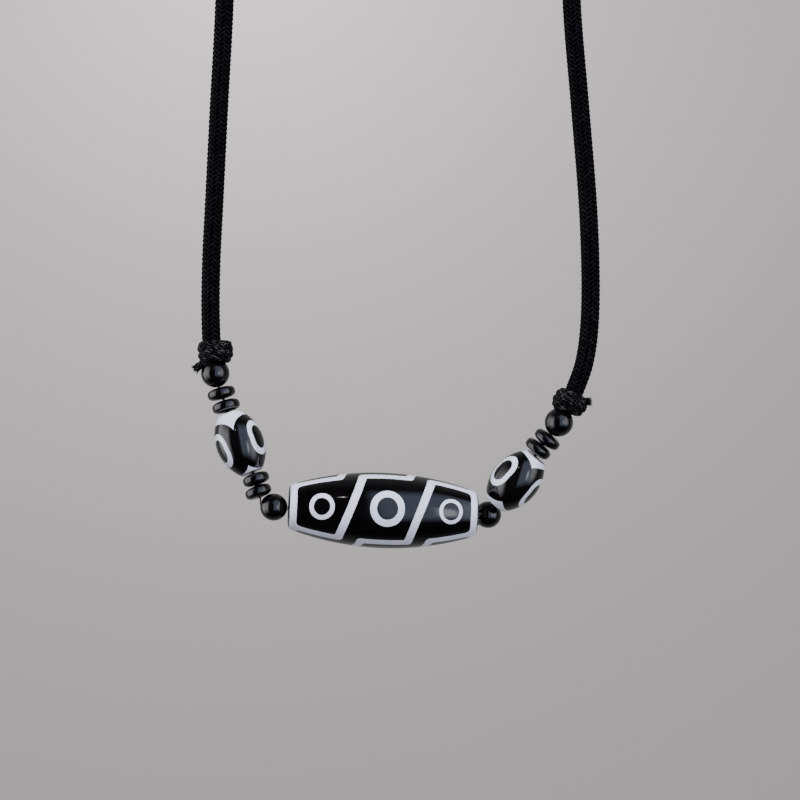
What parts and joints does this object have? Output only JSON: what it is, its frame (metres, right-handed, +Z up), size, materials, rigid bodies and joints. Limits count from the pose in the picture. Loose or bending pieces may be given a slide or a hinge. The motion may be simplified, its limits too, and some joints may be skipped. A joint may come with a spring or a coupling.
{
  "type": "dzi bead necklace",
  "caption": "Necklace loop of black braided cord, knotted at both ends to a short string of black and white patterned barrel beads, round beads and disc beads.",
  "frame": {"origin": "underside of the cord at the middle of the nape, where the necklace is held up", "axes": "+X along the long bead, to the right of someone who faces the beads; +Y from the beads back to the nape; +Z up"},
  "size_m": [0.0857, 0.0726, 0.2367],
  "materials": {
    "nine_eye_agate": "polished",
    "three_eye_agate": "polished",
    "black_agate": "polished",
    "braided_cord": "matte",
    "knot_cord": "matte",
    "thread": "matte"
  },
  "bodies": {
    "root": {"neck_cord": "braided_cord", "bead_thread": "thread", "knot_left": "knot_cord", "knot_right": "knot_cord", "nine_eye_bead": "nine_eye_agate", "three_eye_bead_left": "three_eye_agate", "three_eye_bead_right": "three_eye_agate", "round_bead_left_upper": "black_agate", "round_bead_left_lower": "black_agate", "round_bead_right_lower": "black_agate", "round_bead_right_upper": "black_agate", "disc_bead_left_1": "black_agate", "disc_bead_left_2": "black_agate", "disc_bead_left_3": "black_agate", "disc_bead_left_4": "black_agate", "disc_bead_right_1": "black_agate", "disc_bead_right_2": "black_agate"}
  },
  "joints": []
}
